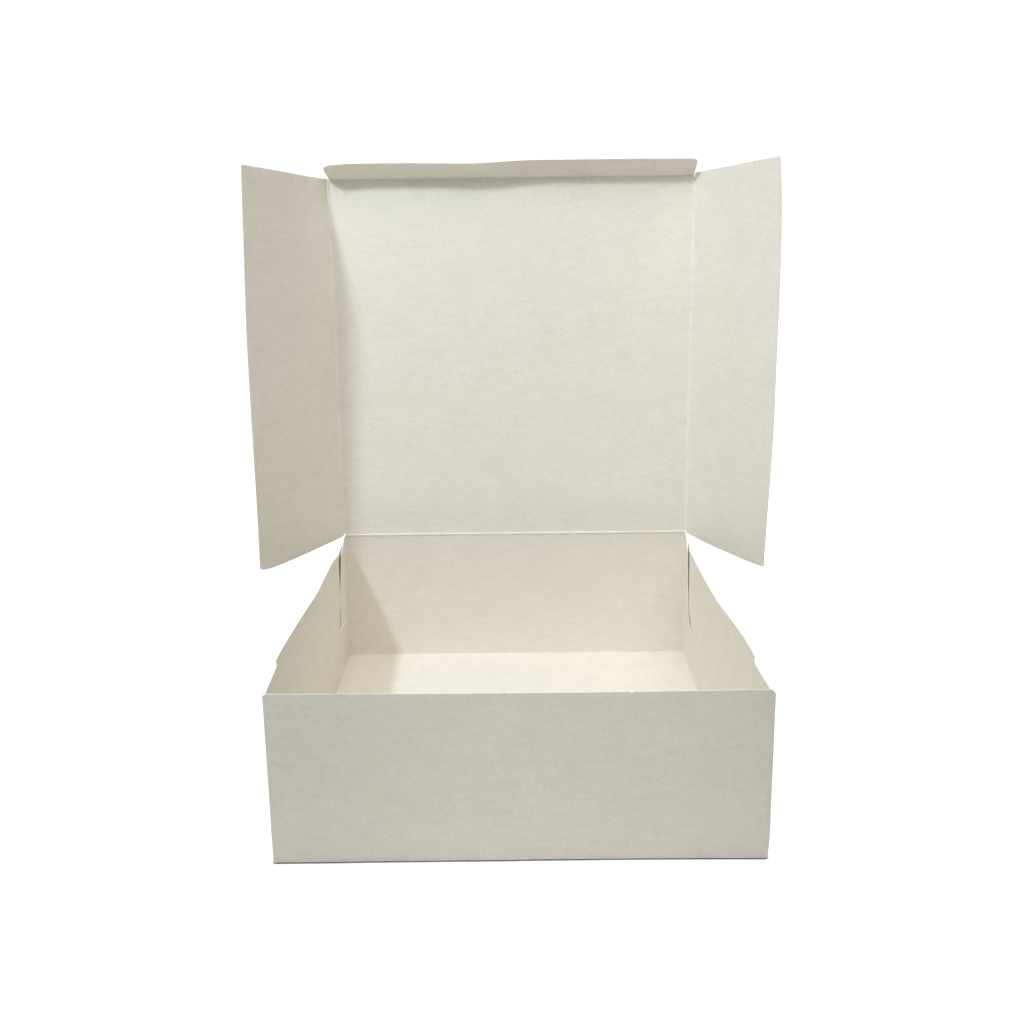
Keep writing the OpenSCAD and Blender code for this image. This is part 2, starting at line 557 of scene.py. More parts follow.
# How far a side wall's rim stands outside its plane, from front to back, in pairs of y and distance
FRONT_STRETCH = {
    "left": ((-101.0, 0.75), (-95.0, 0.95), (-84.0, 1.35), (-74.5, 1.6), (-67.0, 1.9)),
    "right": ((-101.0, -0.6), (-95.7, -0.7), (-86.6, -0.9), (-74.0, -1.05), (-67.0, -1.0)),
}
REAR_STRETCH = {
    "left": (
        (-66.5, 3.4), (-59.0, 3.28), (-43.0, 2.73), (-18.0, 1.55), (1.4, 0.35),
        (16.0, -0.3), (47.0, -0.3), (72.0, -0.8), (76.0, -1.2),
    ),
    "right": (
        (-65.5, 0.44), (-57.5, 0.47), (-46.6, 0.25), (-25.0, -1.2), (-3.0, -2.9),
        (30.0, -3.4), (57.0, -3.3), (76.0, -3.0),
    ),
}
# How that bow grows from the floor to the rim, as a power of the height
BOW_POWER = 1.6
# Half the length in which the two stretches part: at the notch, its growth with each millimetre
# below the notch, and the most of that growth
PART_HALF, PART_GROWTH, PART_MOST = 0.2, 1.2, 25.0
# How far a side wall's ear stands outside that plane at the back tab's free edge, by height
EAR_STAND = {
    "left": (
        (25.5, 0.2), (28.0, 0.4), (33.0, 0.3), (46.5, -0.65), (54.0, -0.85),
        (62.0, -0.95), (75.0, -1.35),
    ),
    "right": (
        (25.5, -0.2), (28.5, -0.5), (35.0, -1.4), (44.0, -2.1), (50.0, -2.15),
        (60.0, -2.45), (75.0, -2.85),
    ),
}
# The same at the rear end of the ear
EAR_END = {
    "left": ((25.5, 0.6), (50.0, 0.9), (76.0, 1.2)),
    "right": ((25.5, 0.55), (50.0, 1.0), (76.0, 1.4)),
}
# Where an ear's rim starts and stops falling, before and after the back tab's free edge
EAR_FALL, EAR_FALLEN = -8.0, 15.0
# How far the front wall's corners swell out, by height
CORNER_SWELL = {
    "left": ((0.0, 0.75), (20.0, 1.0), (76.0, 0.55)),
    "right": ((0.0, 0.2), (5.0, 0.75), (20.0, 0.95), (76.0, 0.1)),
}
# How far the front wall's foot stands forward, from left to right
FRONT_FOOT = (
    (-103.0, 1.5), (-84.0, 1.4), (-50.0, 1.1), (-17.0, 1.0), (16.0, 0.75),
    (50.0, 0.65), (83.0, 0.85), (103.0, 1.1),
)
# A small nick in the front wall's rim: its place, half its width and its depth
NICK_X, NICK_HALF, NICK_DEPTH = 45.0, 0.8, 0.6
# How far the back wall's corners draw in, by height
BACK_WAIST = {
    "left": ((0.0, 0.1), (30.0, 0.55), (49.0, 0.85), (76.0, 1.1)),
    "right": ((0.0, 0.1), (28.0, 0.6), (76.0, 0.85)),
}
# How far the back tabs lean in at their free edge, by height
TAB_LEAN = {
    "left": ((25.0, 0.3), (28.0, 0.35), (33.0, 0.45), (46.5, 0.8), (62.0, 1.6), (75.0, 2.3)),
    "right": ((25.0, 1.1), (28.5, 1.4), (35.0, 2.0), (44.0, 2.55), (60.0, 3.15), (75.0, 3.65)),
}
# The lower line, middle and upper line of a back tab's slit: each one's height above the slit
# height at the crossing, and its rise with each millimetre towards the free edge
TAB_SLIT_LOW, TAB_SLIT_MIDDLE, TAB_SLIT_HIGH = (0.2, 0.06), (0.9, 0.08), (1.6, 0.1)

# Steps in which the mesh goes round a fold of the tray
FOLD_STEPS = 4


def wall_bow(tray, side, y, z):
    """How far a side wall stands outside its plane; its two stretches part at the hook's notch"""
    rise = min(1.0, max(0.0, z / tray.side_top)) ** BOW_POWER
    front = curve_through(FRONT_STRETCH[side], y)
    rear = curve_through(REAR_STRETCH[side], y)
    reach = PART_HALF + min(PART_MOST, PART_GROWTH * max(0.0, tray.notch_low - z))
    share = ease(-reach, reach, y - tray.notch_y + PART_HALF)
    return rise * (front + (rear - front) * share)


def ear_stand(tray, side, y, z):
    """How far a side wall's ear stands outside the wall's plane, outside the back tab"""
    free = curve_through(EAR_STAND[side], z)
    end = curve_through(EAR_END[side], z)
    return free + (end - free) * max(0.0, y - tray.ear_y) / (tray.deep - tray.ear_y)


def fold_arc(sizes):
    """Length of board in a fold of the tray"""
    return sizes.fold_radius * math.pi / 2


def foot_lines(sizes):
    """The lowest line of an upright blank, and the lines on which its foot is creased and rolled"""
    arc = fold_arc(sizes)
    bend = sizes.board + sizes.fold_radius
    rolls = [bend - arc * k / FOLD_STEPS for k in range(FOLD_STEPS)]
    return bend - arc, [sizes.board + sizes.crease] + rolls


def rolled_foot(inward, z, sizes):
    """Rolls the lowest part of an upright sheet inwards through the fold to the floor"""
    radius = sizes.fold_radius
    bend = radius + sizes.board
    if bend - z <= 0:
        return inward, z
    angle = (bend - z) / radius
    return inward + radius * (1 - math.cos(angle)), bend - radius * math.sin(angle)


class PASTRY_OT_floor(bpy.types.Operator):
    """Lays the floor panel of the tray"""

    bl_idname = "pastry.floor"
    bl_label = "Floor panel"

    def execute(self, context):
        sizes = context.scene.pastry_box.sizes
        tray = Tray(sizes)
        clear, front_strip = 0.1, 0.4
        edge_x, edge_y = tray.half - clear, tray.deep - clear
        bm = blank_sheet(-edge_x, edge_x, -edge_y, edge_y, sizes.cell)
        score(bm, (0, front_strip - edge_y, 0), (0, 1, 0))

        def move(co):
            in_front = co.y < front_strip + clear - edge_y
            forward = curve_through(FRONT_FOOT, co.x) if in_front else 0.0
            return Vector((co.x, co.y - forward, sizes.board))

        shape(bm, move)
        sheet_piece(context, "floor_panel", bm, "tray", "tray_card")
        return {"FINISHED"}


class PASTRY_OT_end_walls(bpy.types.Operator):
    """Folds the front and back walls with the tabs at their ends"""

    bl_idname = "pastry.end_walls"
    bl_label = "Front and back walls"

    def execute(self, context):
        sizes = context.scene.pastry_box.sizes
        tray = Tray(sizes)
        self.front_wall(context, sizes, tray)
        self.back_wall(context, sizes, tray)
        return {"FINISHED"}

    def folded(self, sizes, tray, tab, top):
        """A flat blank of a wall with a tab at each end, and where its folds start and end"""
        radius, arc = sizes.fold_radius, fold_arc(sizes)
        start = tray.tab_in - radius
        reach = start + arc + tab - radius
        bends = [start + arc * k / FOLD_STEPS for k in range(FOLD_STEPS + 1)]
        scores = [s * x for x in bends for s in (-1, 1)]
        foot, rolls = foot_lines(sizes)
        bm = blank_sheet(-reach, reach, foot, top, sizes.cell, scores, rolls)
        # The foot and the corner folds take the lighter crease colour: crushed fibres and a painted
        # highlight.
        mark_creased(bm, lambda c: c.y < rolls[0] or start < abs(c.x) < start + arc)
        return bm, start, start + arc

    def upright(self, co, sizes, start):
        """Bends the ends of the blank inwards: how far along, how far inwards, and how high"""
        radius, arc = sizes.fold_radius, fold_arc(sizes)
        side = math.copysign(1.0, co.x)
        beyond = abs(co.x) - start
        if beyond <= 0:
            return co.x, 0.0, co.y
        if beyond < arc:
            angle = beyond / radius
            return side * (start + radius * math.sin(angle)), radius * (1 - math.cos(angle)), co.y
        return side * (start + radius), radius + beyond - arc, co.y

    def front_wall(self, context, sizes, tray):
        """The wall with the bulge, whose tabs lie outside the side walls and slope down"""
        top = tray.front_top
        bm, start, end = self.folded(sizes, tray, sizes.front_tab, top)
        tab_drop, tab_level, tab_slope = 1.2, 20.0, 0.3
        foot_clear, foot_slope = 0.6, 0.045
        tab_top = tray.side_top - tab_drop
        for side, corner in ((-1, 1.2), (1, 2.2)):

            def on_tab(c, side=side):
                return c.x * side > end

            def past_wall(c, side=side):
                return c.x * side > start

            round_corner(bm, side * end, top, corner, side, 1)
            trim(bm, (0, tab_top, 0), (0, 1, 0), on_tab)
            trim(bm, (side * (end + tab_level), tab_top, 0), (side * tab_slope, 1, 0), on_tab)
            trim(bm, (side * start, foot_clear, 0), (-side * foot_slope, -1, 0), past_wall)
        near_rim = 5.0
        for x in (NICK_X - NICK_HALF, NICK_X, NICK_X + NICK_HALF):
            score(bm, (x, 0, 0), (1, 0, 0), lambda c: c.y > top - near_rim)

        # The bulge grows with a power of the height, the corners swell from swell_from, a tab
        # follows the side wall's bow from follow_from past its fold, and the foot stands forward
        # up to foot_top
        bulge_power, swell_from, follow_from, foot_top = 1.5, 60.0, 14.0, 30.0

        def move(co):
            x, inward, z = self.upright(co, sizes, start)
            rise = max(0.0, z / top)
            side, out = ("left", -1.0) if x < 0 else ("right", 1.0)
            swell = curve_through(CORNER_SWELL[side], z)
            if abs(co.x) <= end:
                across = max(0.0, 1.0 - (x / tray.tab_in) ** 2)
                inward -= sizes.front_bulge * rise**bulge_power * across
                x += out * swell * ease(swell_from, tray.half, abs(x))
            else:
                y = min(inward - tray.deep, tray.notch_y - 0.5)
                follow = ease(0.0, follow_from, inward)
                x += out * (wall_bow(tray, side, y, z) * follow + swell * (1.0 - follow))
            inward -= curve_through(FRONT_FOOT, x) * (1.0 - ease(0.0, foot_top, z))
            if co.y > top - 0.01:
                z -= NICK_DEPTH * max(0.0, 1.0 - abs(co.x - NICK_X) / NICK_HALF)
            inward, z = rolled_foot(inward, z, sizes)
            return Vector((x, inward - tray.deep, z))

        shape(bm, move)
        sheet_piece(context, "front_wall_sheet", bm, "tray", "tray_card", flip=True)

    def back_wall(self, context, sizes, tray):
        """The wall under the hinge, whose slit tabs lie inside the side walls"""
        below_hinge, foot_clear, foot_slope = 0.6, 1.5, 0.06
        bm, start, end = self.folded(sizes, tray, sizes.back_tab, HINGE.z - below_hinge)
        cross = end + CROSSING - sizes.fold_radius
        for side, tab_drop, fall in ((-1, 1.0, 0.06), (1, 1.9, 0.025)):

            def on_tab(c, side=side):
                return c.x * side > start

            def past_cross(c, side=side):
                return c.x * side > cross

            def in_slit(c, side=side):
                low, high = (
                    rise + slope * (c.x * side - cross)
                    for rise, slope in (TAB_SLIT_LOW, TAB_SLIT_HIGH)
                )
                return past_cross(c) and low < c.y - tray.slit < high

            trim(bm, (side * end, tray.front_top - tab_drop, 0), (side * fall, 1, 0), on_tab)
            trim(bm, (side * end, foot_clear, 0), (-side * foot_slope, -1, 0), on_tab)
            score(bm, (side * cross, 0, 0), (1, 0, 0))
            for rise, slope in (TAB_SLIT_LOW, TAB_SLIT_HIGH):
                point = (side * cross, tray.slit + rise, 0)
                score(bm, point, (-slope * side, 1, 0), past_cross)
            remove(bm, in_slit)

        # The corners draw in from waist_from; below its slit a tab leans in from lean_foot up,
        # and less and less up to lean_end from its fold
        waist_from, lean_foot, lean_end = 70.0, 4.0, 14.0

        def move(co):
            x, inward, z = self.upright(co, sizes, start)
            side, out = ("left", -1.0) if x < 0 else ("right", 1.0)
            x -= out * curve_through(BACK_WAIST[side], z) * ease(waist_from, tray.half, abs(x))
            if abs(co.x) > end:
                lean = curve_through(TAB_LEAN[side], max(z, tray.slit))
                rise, slope = TAB_SLIT_MIDDLE
                if z < tray.slit + rise + slope * max(0.0, inward - CROSSING):
                    lean *= ease(lean_foot, tray.slit, z) * max(0.0, 1.0 - inward / lean_end)
                x -= out * lean * inward / sizes.back_tab
            inward, z = rolled_foot(inward, z, sizes)
            return Vector((x, tray.deep - inward, z))

        shape(bm, move)
        sheet_piece(context, "back_wall_sheet", bm, "tray", "tray_card")


class PASTRY_OT_side_walls(bpy.types.Operator):
    """Folds up the side walls, with the ear round the back tab and the hook over the front tab"""

    bl_idname = "pastry.side_walls"
    bl_label = "Side walls"

    def execute(self, context):
        for side in ("left", "right"):
            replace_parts(self.side_wall(context, side), "tray")
        return {"FINISHED"}

    def side_wall(self, context, side):
        sizes = context.scene.pastry_box.sizes
        tray = Tray(sizes)
        bm = self.blank(sizes, tray)
        self.slit(bm, tray)
        self.notch(bm, tray)
        out = -1.0 if side == "left" else 1.0
        # The wall bends to its ear from bend_from on, within bend_half of just below the slit
        bend_from, bend_half, below_lap = tray.bend_y - 6.0, 1.2, 0.1

        def move(co):
            y, z = co.x, co.y
            stand = wall_bow(tray, side, y, z)
            lap = tray.lap(y) - below_lap
            above = ease(lap - bend_half, lap + bend_half, z)
            if y > tray.slit_start + 0.01:
                above = 1.0 if z > lap else 0.0
            ear = ear_stand(tray, side, y, z)
            stand += (ear - stand) * above * ease(bend_from, tray.ear_y, y)
            inward, z = rolled_foot(0.0, z, sizes)
            return Vector((out * (tray.half + stand - inward), y, z))

        shape(bm, move)
        name = side + "_side_wall"
        piece = sheet_piece(context, name, bm, "tray", "tray_card", flip=side == "right")
        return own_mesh(piece)

    def blank(self, sizes, tray):
        """A flat wall with the outline of its ear, and finer mesh round the slit and the hook"""
        foot, rolls = foot_lines(sizes)
        front_clear, rear_clear = 0.15, 0.1
        front, rear = front_clear - tray.deep, tray.deep + sizes.board
        levels = [tray.slit + d for d in (-2.0, 0.5, 1.2, 2.6, 4.0)]
        heights = [tray.notch_low + d for d in (-4.0, -2.0, -0.8, 0.0)]
        near_hook = [
            tray.notch_y + d for d in (-8.0, -NOTCH_RUN, -NOTCH_WIDTH, 0.0, 1.0, 2.5, 5.0)
        ]
        places = near_hook + [tray.cross_y, tray.slit_start, tray.ear_y, tray.bend_y]
        lines = rolls + levels + heights
        bm = blank_sheet(front, rear, foot, tray.side_top, sizes.cell, places, lines)
        # The foot takes the lighter crease colour: crushed fibres and a painted highlight along the
        # fold.
        mark_creased(bm, lambda c: c.y < rolls[0])
        trim(bm, (rear - sizes.board - rear_clear, 0, 0), (1, 0, 0), lambda c: c.y < tray.slit)
        fall, fallen = tray.ear_y + EAR_FALL, tray.ear_y + EAR_FALLEN
        slope = (tray.side_top - tray.ear_top) / (fallen - fall)
        trim(bm, (fall, tray.side_top, 0), (slope, 1, 0), lambda c: fall < c.x)
        trim(bm, (0, tray.ear_top, 0), (0, 1, 0), lambda c: c.x > fallen)
        return bm

    def slit(self, bm, tray):
        """Cuts the slanting slit in which the back tab crosses the wall"""
        low, high, around = -0.15, 0.1, 8.0

        def near(c):
            return c.x > tray.slit_start and abs(c.y - tray.slit) < around

        for offset in (low, high):
            point = (tray.cross_y, tray.lap(tray.cross_y) + offset, 0)
            score(bm, point, (LAP_SLANT, 1, 0), near)
        remove(bm, lambda c: near(c) and low < c.y - tray.lap(c.x) < high)

    def notch(self, bm, tray):
        """Cuts the slit that frees the hook, and slopes the rim in front of it"""
        start, edge = tray.notch_y - NOTCH_RUN, tray.notch_y - NOTCH_WIDTH
        down = Vector((NOTCH_FALL, NOTCH_RUN - NOTCH_WIDTH, 0)).normalized()
        remove(bm, lambda c: edge < c.x < tray.notch_y and c.y > tray.notch_low)
        trim(bm, (start, tray.side_top, 0), down, lambda c: start < c.x < edge)


# The lid

# Gap between the edge of a panel and its fold, which the crease bridges
FOLD_GAP = 0.5


def lid_place():
    """From the lid's own frame, x along the hinge, y up the lid, z inwards, to the box's frame"""
    up = Vector(FLAP_FOLD["left"]["axis"]).normalized()
    across = Vector((1.0, 0.0, 0.0))
    turn = Matrix((across, up, across.cross(up))).transposed().to_4x4()
    return Matrix.Translation(HINGE) @ turn


def lid_length():
    """Length of the lid, from its hinge to the fold of the tuck flap"""
    return (Vector(TUCK_FOLD["pos_m"]) * TO_MM - HINGE).length


def flap_place(side):
    """From a flap lying flat at its fold to the box's frame"""
    fold = math.radians(-FLAP_FOLD[side]["range_deg"][0])
    sign = -1.0 if side == "left" else 1.0
    return (
        lid_place()
        @ Matrix.Translation((sign * CREASE_X, 0, 0))
        @ Matrix.Rotation(-sign * fold, 4, "Y")
    )


def tuck_place():
    """From the tuck flap lying flat at its fold to the box's frame"""
    fold = math.radians(-TUCK_FOLD["range_deg"][0])
    return (
        lid_place()
        @ Matrix.Translation((0, lid_length(), 0))
        @ Matrix.Rotation(fold, 4, "X")
    )


class PASTRY_OT_lid_panel(bpy.types.Operator):
    """Lays the lid panel, which is bowed a little between its folds"""

    bl_idname = "pastry.lid_panel"
    bl_label = "Lid panel"

    def execute(self, context):
        sizes = context.scene.pastry_box.sizes
        side = CREASE_X - FOLD_GAP
        length = lid_length()
        bow, bow_power, ripple, ripple_x, ripple_y = 0.9, 0.6, 0.12, 23.0, 41.0
        bm = blank_sheet(-side, side, FOLD_GAP, length - FOLD_GAP, sizes.cell)

        def move(co):
            across = 1.0 - (co.x / side) ** 2
            along = math.sin(math.pi * (co.y / length) ** bow_power)
            waved = ripple * math.sin(co.x / ripple_x + co.y / ripple_y) * across
            bowed = bow * (0.5 + 0.5 * across)
            return Vector((co.x, co.y, sizes.board + (waved - bowed) * along))

        shape(bm, move)
        piece = sheet_piece(context, "lid_sheet", bm, "lid", "lid_card", place=lid_place())
        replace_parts(piece, "lid_panel")
        return {"FINISHED"}


# How far a flap's free edge curls outwards, from the hinge to the front, in pairs of place and
# distance; the curl grows from the fold with a power of the width
CURL_POWER = 1.3
LEFT_CURL = (
    (0.0, 3.0), (25.0, 2.7), (60.0, 2.6), (100.0, 2.6), (130.0, 2.1),
    (155.0, 1.1), (180.0, 0.2), (205.0, -0.8),
)
RIGHT_CURL = (
    (0.0, -0.2), (23.0, 0.7), (49.0, 1.8), (75.0, 2.5), (110.0, 2.5),
    (152.0, 2.4), (178.0, 1.8), (192.0, 0.9), (205.0, -0.4),
)
# Where a flap's rear edge lies, past the hinge line, from the fold to the free edge
LEFT_LOW = ((0.0, -0.5), (20.0, -1.6), (63.0, -3.0), (73.0, -1.8))
RIGHT_LOW = ((0.0, -0.6), (15.0, -1.6), (30.0, -2.2), (60.0, -2.5), (73.0, -2.1))
# How far the tuck flap's free edge waves inwards, from left to right
TUCK_WAVE = (
    (-101.0, 2.6), (-95.0, 1.9), (-87.0, 1.3), (-54.0, 1.3), (-22.0, 2.1),
    (-6.0, 1.2), (10.0, 0.3), (48.0, 0.3), (75.0, 0.4), (101.0, 0.8),
)


class PASTRY_OT_lid_flaps(bpy.types.Operator):
    """Folds the two side flaps of the lid"""

    bl_idname = "pastry.lid_flaps"
    bl_label = "Lid flaps"

    def execute(self, context):
        self.flap(context, "left", LEFT_CURL, LEFT_LOW, rise=(0.0, 2.2), corner=2.0, give=1.4)
        self.flap(context, "right", RIGHT_CURL, RIGHT_LOW, rise=(1.0, 2.7), corner=1.0, give=0.2)
        return {"FINISHED"}

    def flap(self, context, side, curl, low, rise, corner, give):
        """A flap whose front edge runs from the first to the second number of rise beyond the
        lid's, and which gives way to the tuck flap's end"""
        sizes = context.scene.pastry_box.sizes
        sign = -1.0 if side == "left" else 1.0
        width, length = sizes.flap_width, lid_length()
        bm = blank_sheet(FOLD_GAP, width, 0.0, length, sizes.cell)
        round_corner(bm, width, 0.0, corner, 1, -1)
        round_corner(bm, width, length, 1.0, 1, 1)

        def past_tuck(x, v):
            """How near a point of the flap is to the tuck flap's end, from 0 to 1"""
            across = ease(0.0, 7.0, x) * (1.0 - ease(15.0, 45.0, x))
            return across * ease(length - 30.0, length - 6.0, v)

        def move(co):
            out = co.x / width
            rear = curve_through(low, co.x)
            front = length + rise[0] + (rise[1] - rise[0]) * out
            v = rear + (front - rear) * co.y / length
            outward = curve_through(curl, v) * out**CURL_POWER + give * past_tuck(co.x, v)
            return Vector((sign * co.x, v, sizes.board - outward))

        shape(bm, move)
        name, body, place = side + "_flap_sheet", side + "_flap", flap_place(side)
        piece = sheet_piece(context, name, bm, body, "lid_card", place, flip=side == "left")
        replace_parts(piece, side + "_lid_flap")


class PASTRY_OT_tuck_flap(bpy.types.Operator):
    """Folds the tuck flap, whose free edge is a little wavy"""

    bl_idname = "pastry.tuck_flap"
    bl_label = "Tuck flap"

    def execute(self, context):
        sizes = context.scene.pastry_box.sizes
        end_gap, flare, flare_from, wave_power = 0.65, 1.2, -60.0, 2.2
        side, length = CREASE_X - end_gap, sizes.tuck_length
        bm = blank_sheet(-side, side, FOLD_GAP, length, sizes.cell / 2)
        for sign, corner in ((-1, 4.6), (1, 3.2)):
            round_corner(bm, sign * side, length, corner, sign, 1)

        def move(co):
            share = co.y / length
            flared = flare * ease(0.0, 0.5, share) * ease(flare_from, -side, co.x)
            wave = curve_through(TUCK_WAVE, co.x) * share**wave_power
            return Vector((co.x - flared, co.y, sizes.board + wave))

        shape(bm, move)
        piece = sheet_piece(context, "tuck_sheet", bm, "tuck", "lid_card", place=tuck_place())
        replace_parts(piece, "tuck_flap")
        return {"FINISHED"}


class PASTRY_OT_creases(bpy.types.Operator):
    """Presses the scored creases that join the tray, the lid and its flaps"""

    bl_idname = "pastry.creases"
    bl_label = "Creases"

    def execute(self, context):
        lid, length = lid_place(), lid_length()
        end_gap, tuck_end_gap = 0.9, 0.7
        turn_back = Matrix.Rotation(math.pi, 4, "Z")
        upright = Matrix.Translation(HINGE) @ Matrix.Rotation(math.pi / 2, 4, "X")
        wall, half = upright @ turn_back, CREASE_X - end_gap
        self.crease(context, "hinge_crease", ("tray", "lid"), wall, lid, half, bead=0.45)
        front = lid @ Matrix.Translation((0, length, 0)) @ turn_back
        tuck, half = tuck_place(), CREASE_X - tuck_end_gap
        self.crease(context, "tuck_crease", ("lid", "tuck"), front, tuck, half, bead=0.0, reach=0.7)
        for side, sign in (("left", -1.0), ("right", 1.0)):
            fold = lid @ Matrix.Translation((sign * CREASE_X, length / 2, 0))
            fold = fold @ Matrix.Rotation(sign * math.pi / 2, 4, "Z")
            flap = flap_place(side) @ Matrix.Translation((0, length / 2, 0))
            flap = flap @ Matrix.Rotation(-sign * math.pi / 2, 4, "Z")
            name, bodies = side + "_flap_crease", ("lid", side + "_flap")
            self.crease(context, name, bodies, fold, flap, length / 2 - end_gap, bead=0.3)
        return {"FINISHED"}

    def crease(self, context, name, bodies, first, second, half, bead, reach=1.1):
        """A narrow bead from the edge of one panel to the next; y in each frame points into its
        panel, and the crease reaches that far into both"""
        sizes = context.scene.pastry_box.sizes
        proud, bead_width, crushed_and_highlit = 0.03, 0.42, 0.7
        steps = 8
        lines = [k / steps for k in range(1 - steps, steps)]
        bm = blank_sheet(-half, half, -1.0, 1.0, sizes.cell, y_scores=lines)
        # The middle of the crease takes the lighter crease colour: crushed fibres and a painted
        # highlight along the fold.
        mark_creased(bm, lambda c: bead > 0 and abs(c.y) < crushed_and_highlit)
        level = sizes.board + proud
        inward = ((first.to_3x3() + second.to_3x3()) @ Vector((0, 0, 1))).normalized()
        along = [place.to_3x3() @ Vector((1, 0, 0)) for place in (first, second)]
        mirror = -1.0 if along[0].dot(along[1]) < 0 else 1.0

        def at(place, x, y):
            return place @ Vector((x, y, level))

        def move(co):
            start, end = at(first, mirror * co.x, reach), at(second, co.x, reach)
            corner = (at(first, mirror * co.x, 0.0) + at(second, co.x, 0.0)) / 2
            t = (co.y + 1) / 2
            fold = start * (1 - t) ** 2 + corner * 2 * t * (1 - t) + end * t * t
            return fold + inward * bead * math.exp(-((co.y / bead_width) ** 2))

        shape(bm, move)
        bm.normal_update()
        flip = sum(f.normal.dot(inward) for f in bm.faces) < 0
        thickness = sizes.board + 2 * proud
        piece = sheet_piece(context, name, bm, None, "lid_card", flip=flip, thickness=thickness)
        start, end = at(first, 0, reach) * TO_METRES, at(second, 0, reach) * TO_METRES
        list(bodies)
        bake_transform(piece)
        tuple(start)
        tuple(end)


# The stage

WHITE = (1.0, 1.0, 1.0, 1.0)
# The lamps' places, and what the lamps above and the spot are aimed at, in metres
KEY_PLACE, FILL_PLACE, SPOT_PLACE = (-0.4, -0.34, 0.8), (0.1, -0.25, 0.85), (0.05, -0.6, 0.03)
BOX_MIDDLE, FRONT_MIDDLE = Vector((0.0, 0.05, 0.15)), Vector((0.025, -0.102, 0.04))
# The lamps' colours
COOL, WARM, PLAIN = (0.77, 0.87, 1.0), (1.0, 0.99, 0.955), (1.0, 1.0, 1.0)
# The camera's place in metres, its heading, tilt and roll in degrees, and its shift
CAMERA_PLACE = (-0.0031, -0.4741, 0.2634)
HEADING, TILT, ROLL = 0.42, -14.76, -0.74
SHIFT_X, SHIFT_Y = 0.0101, -0.034


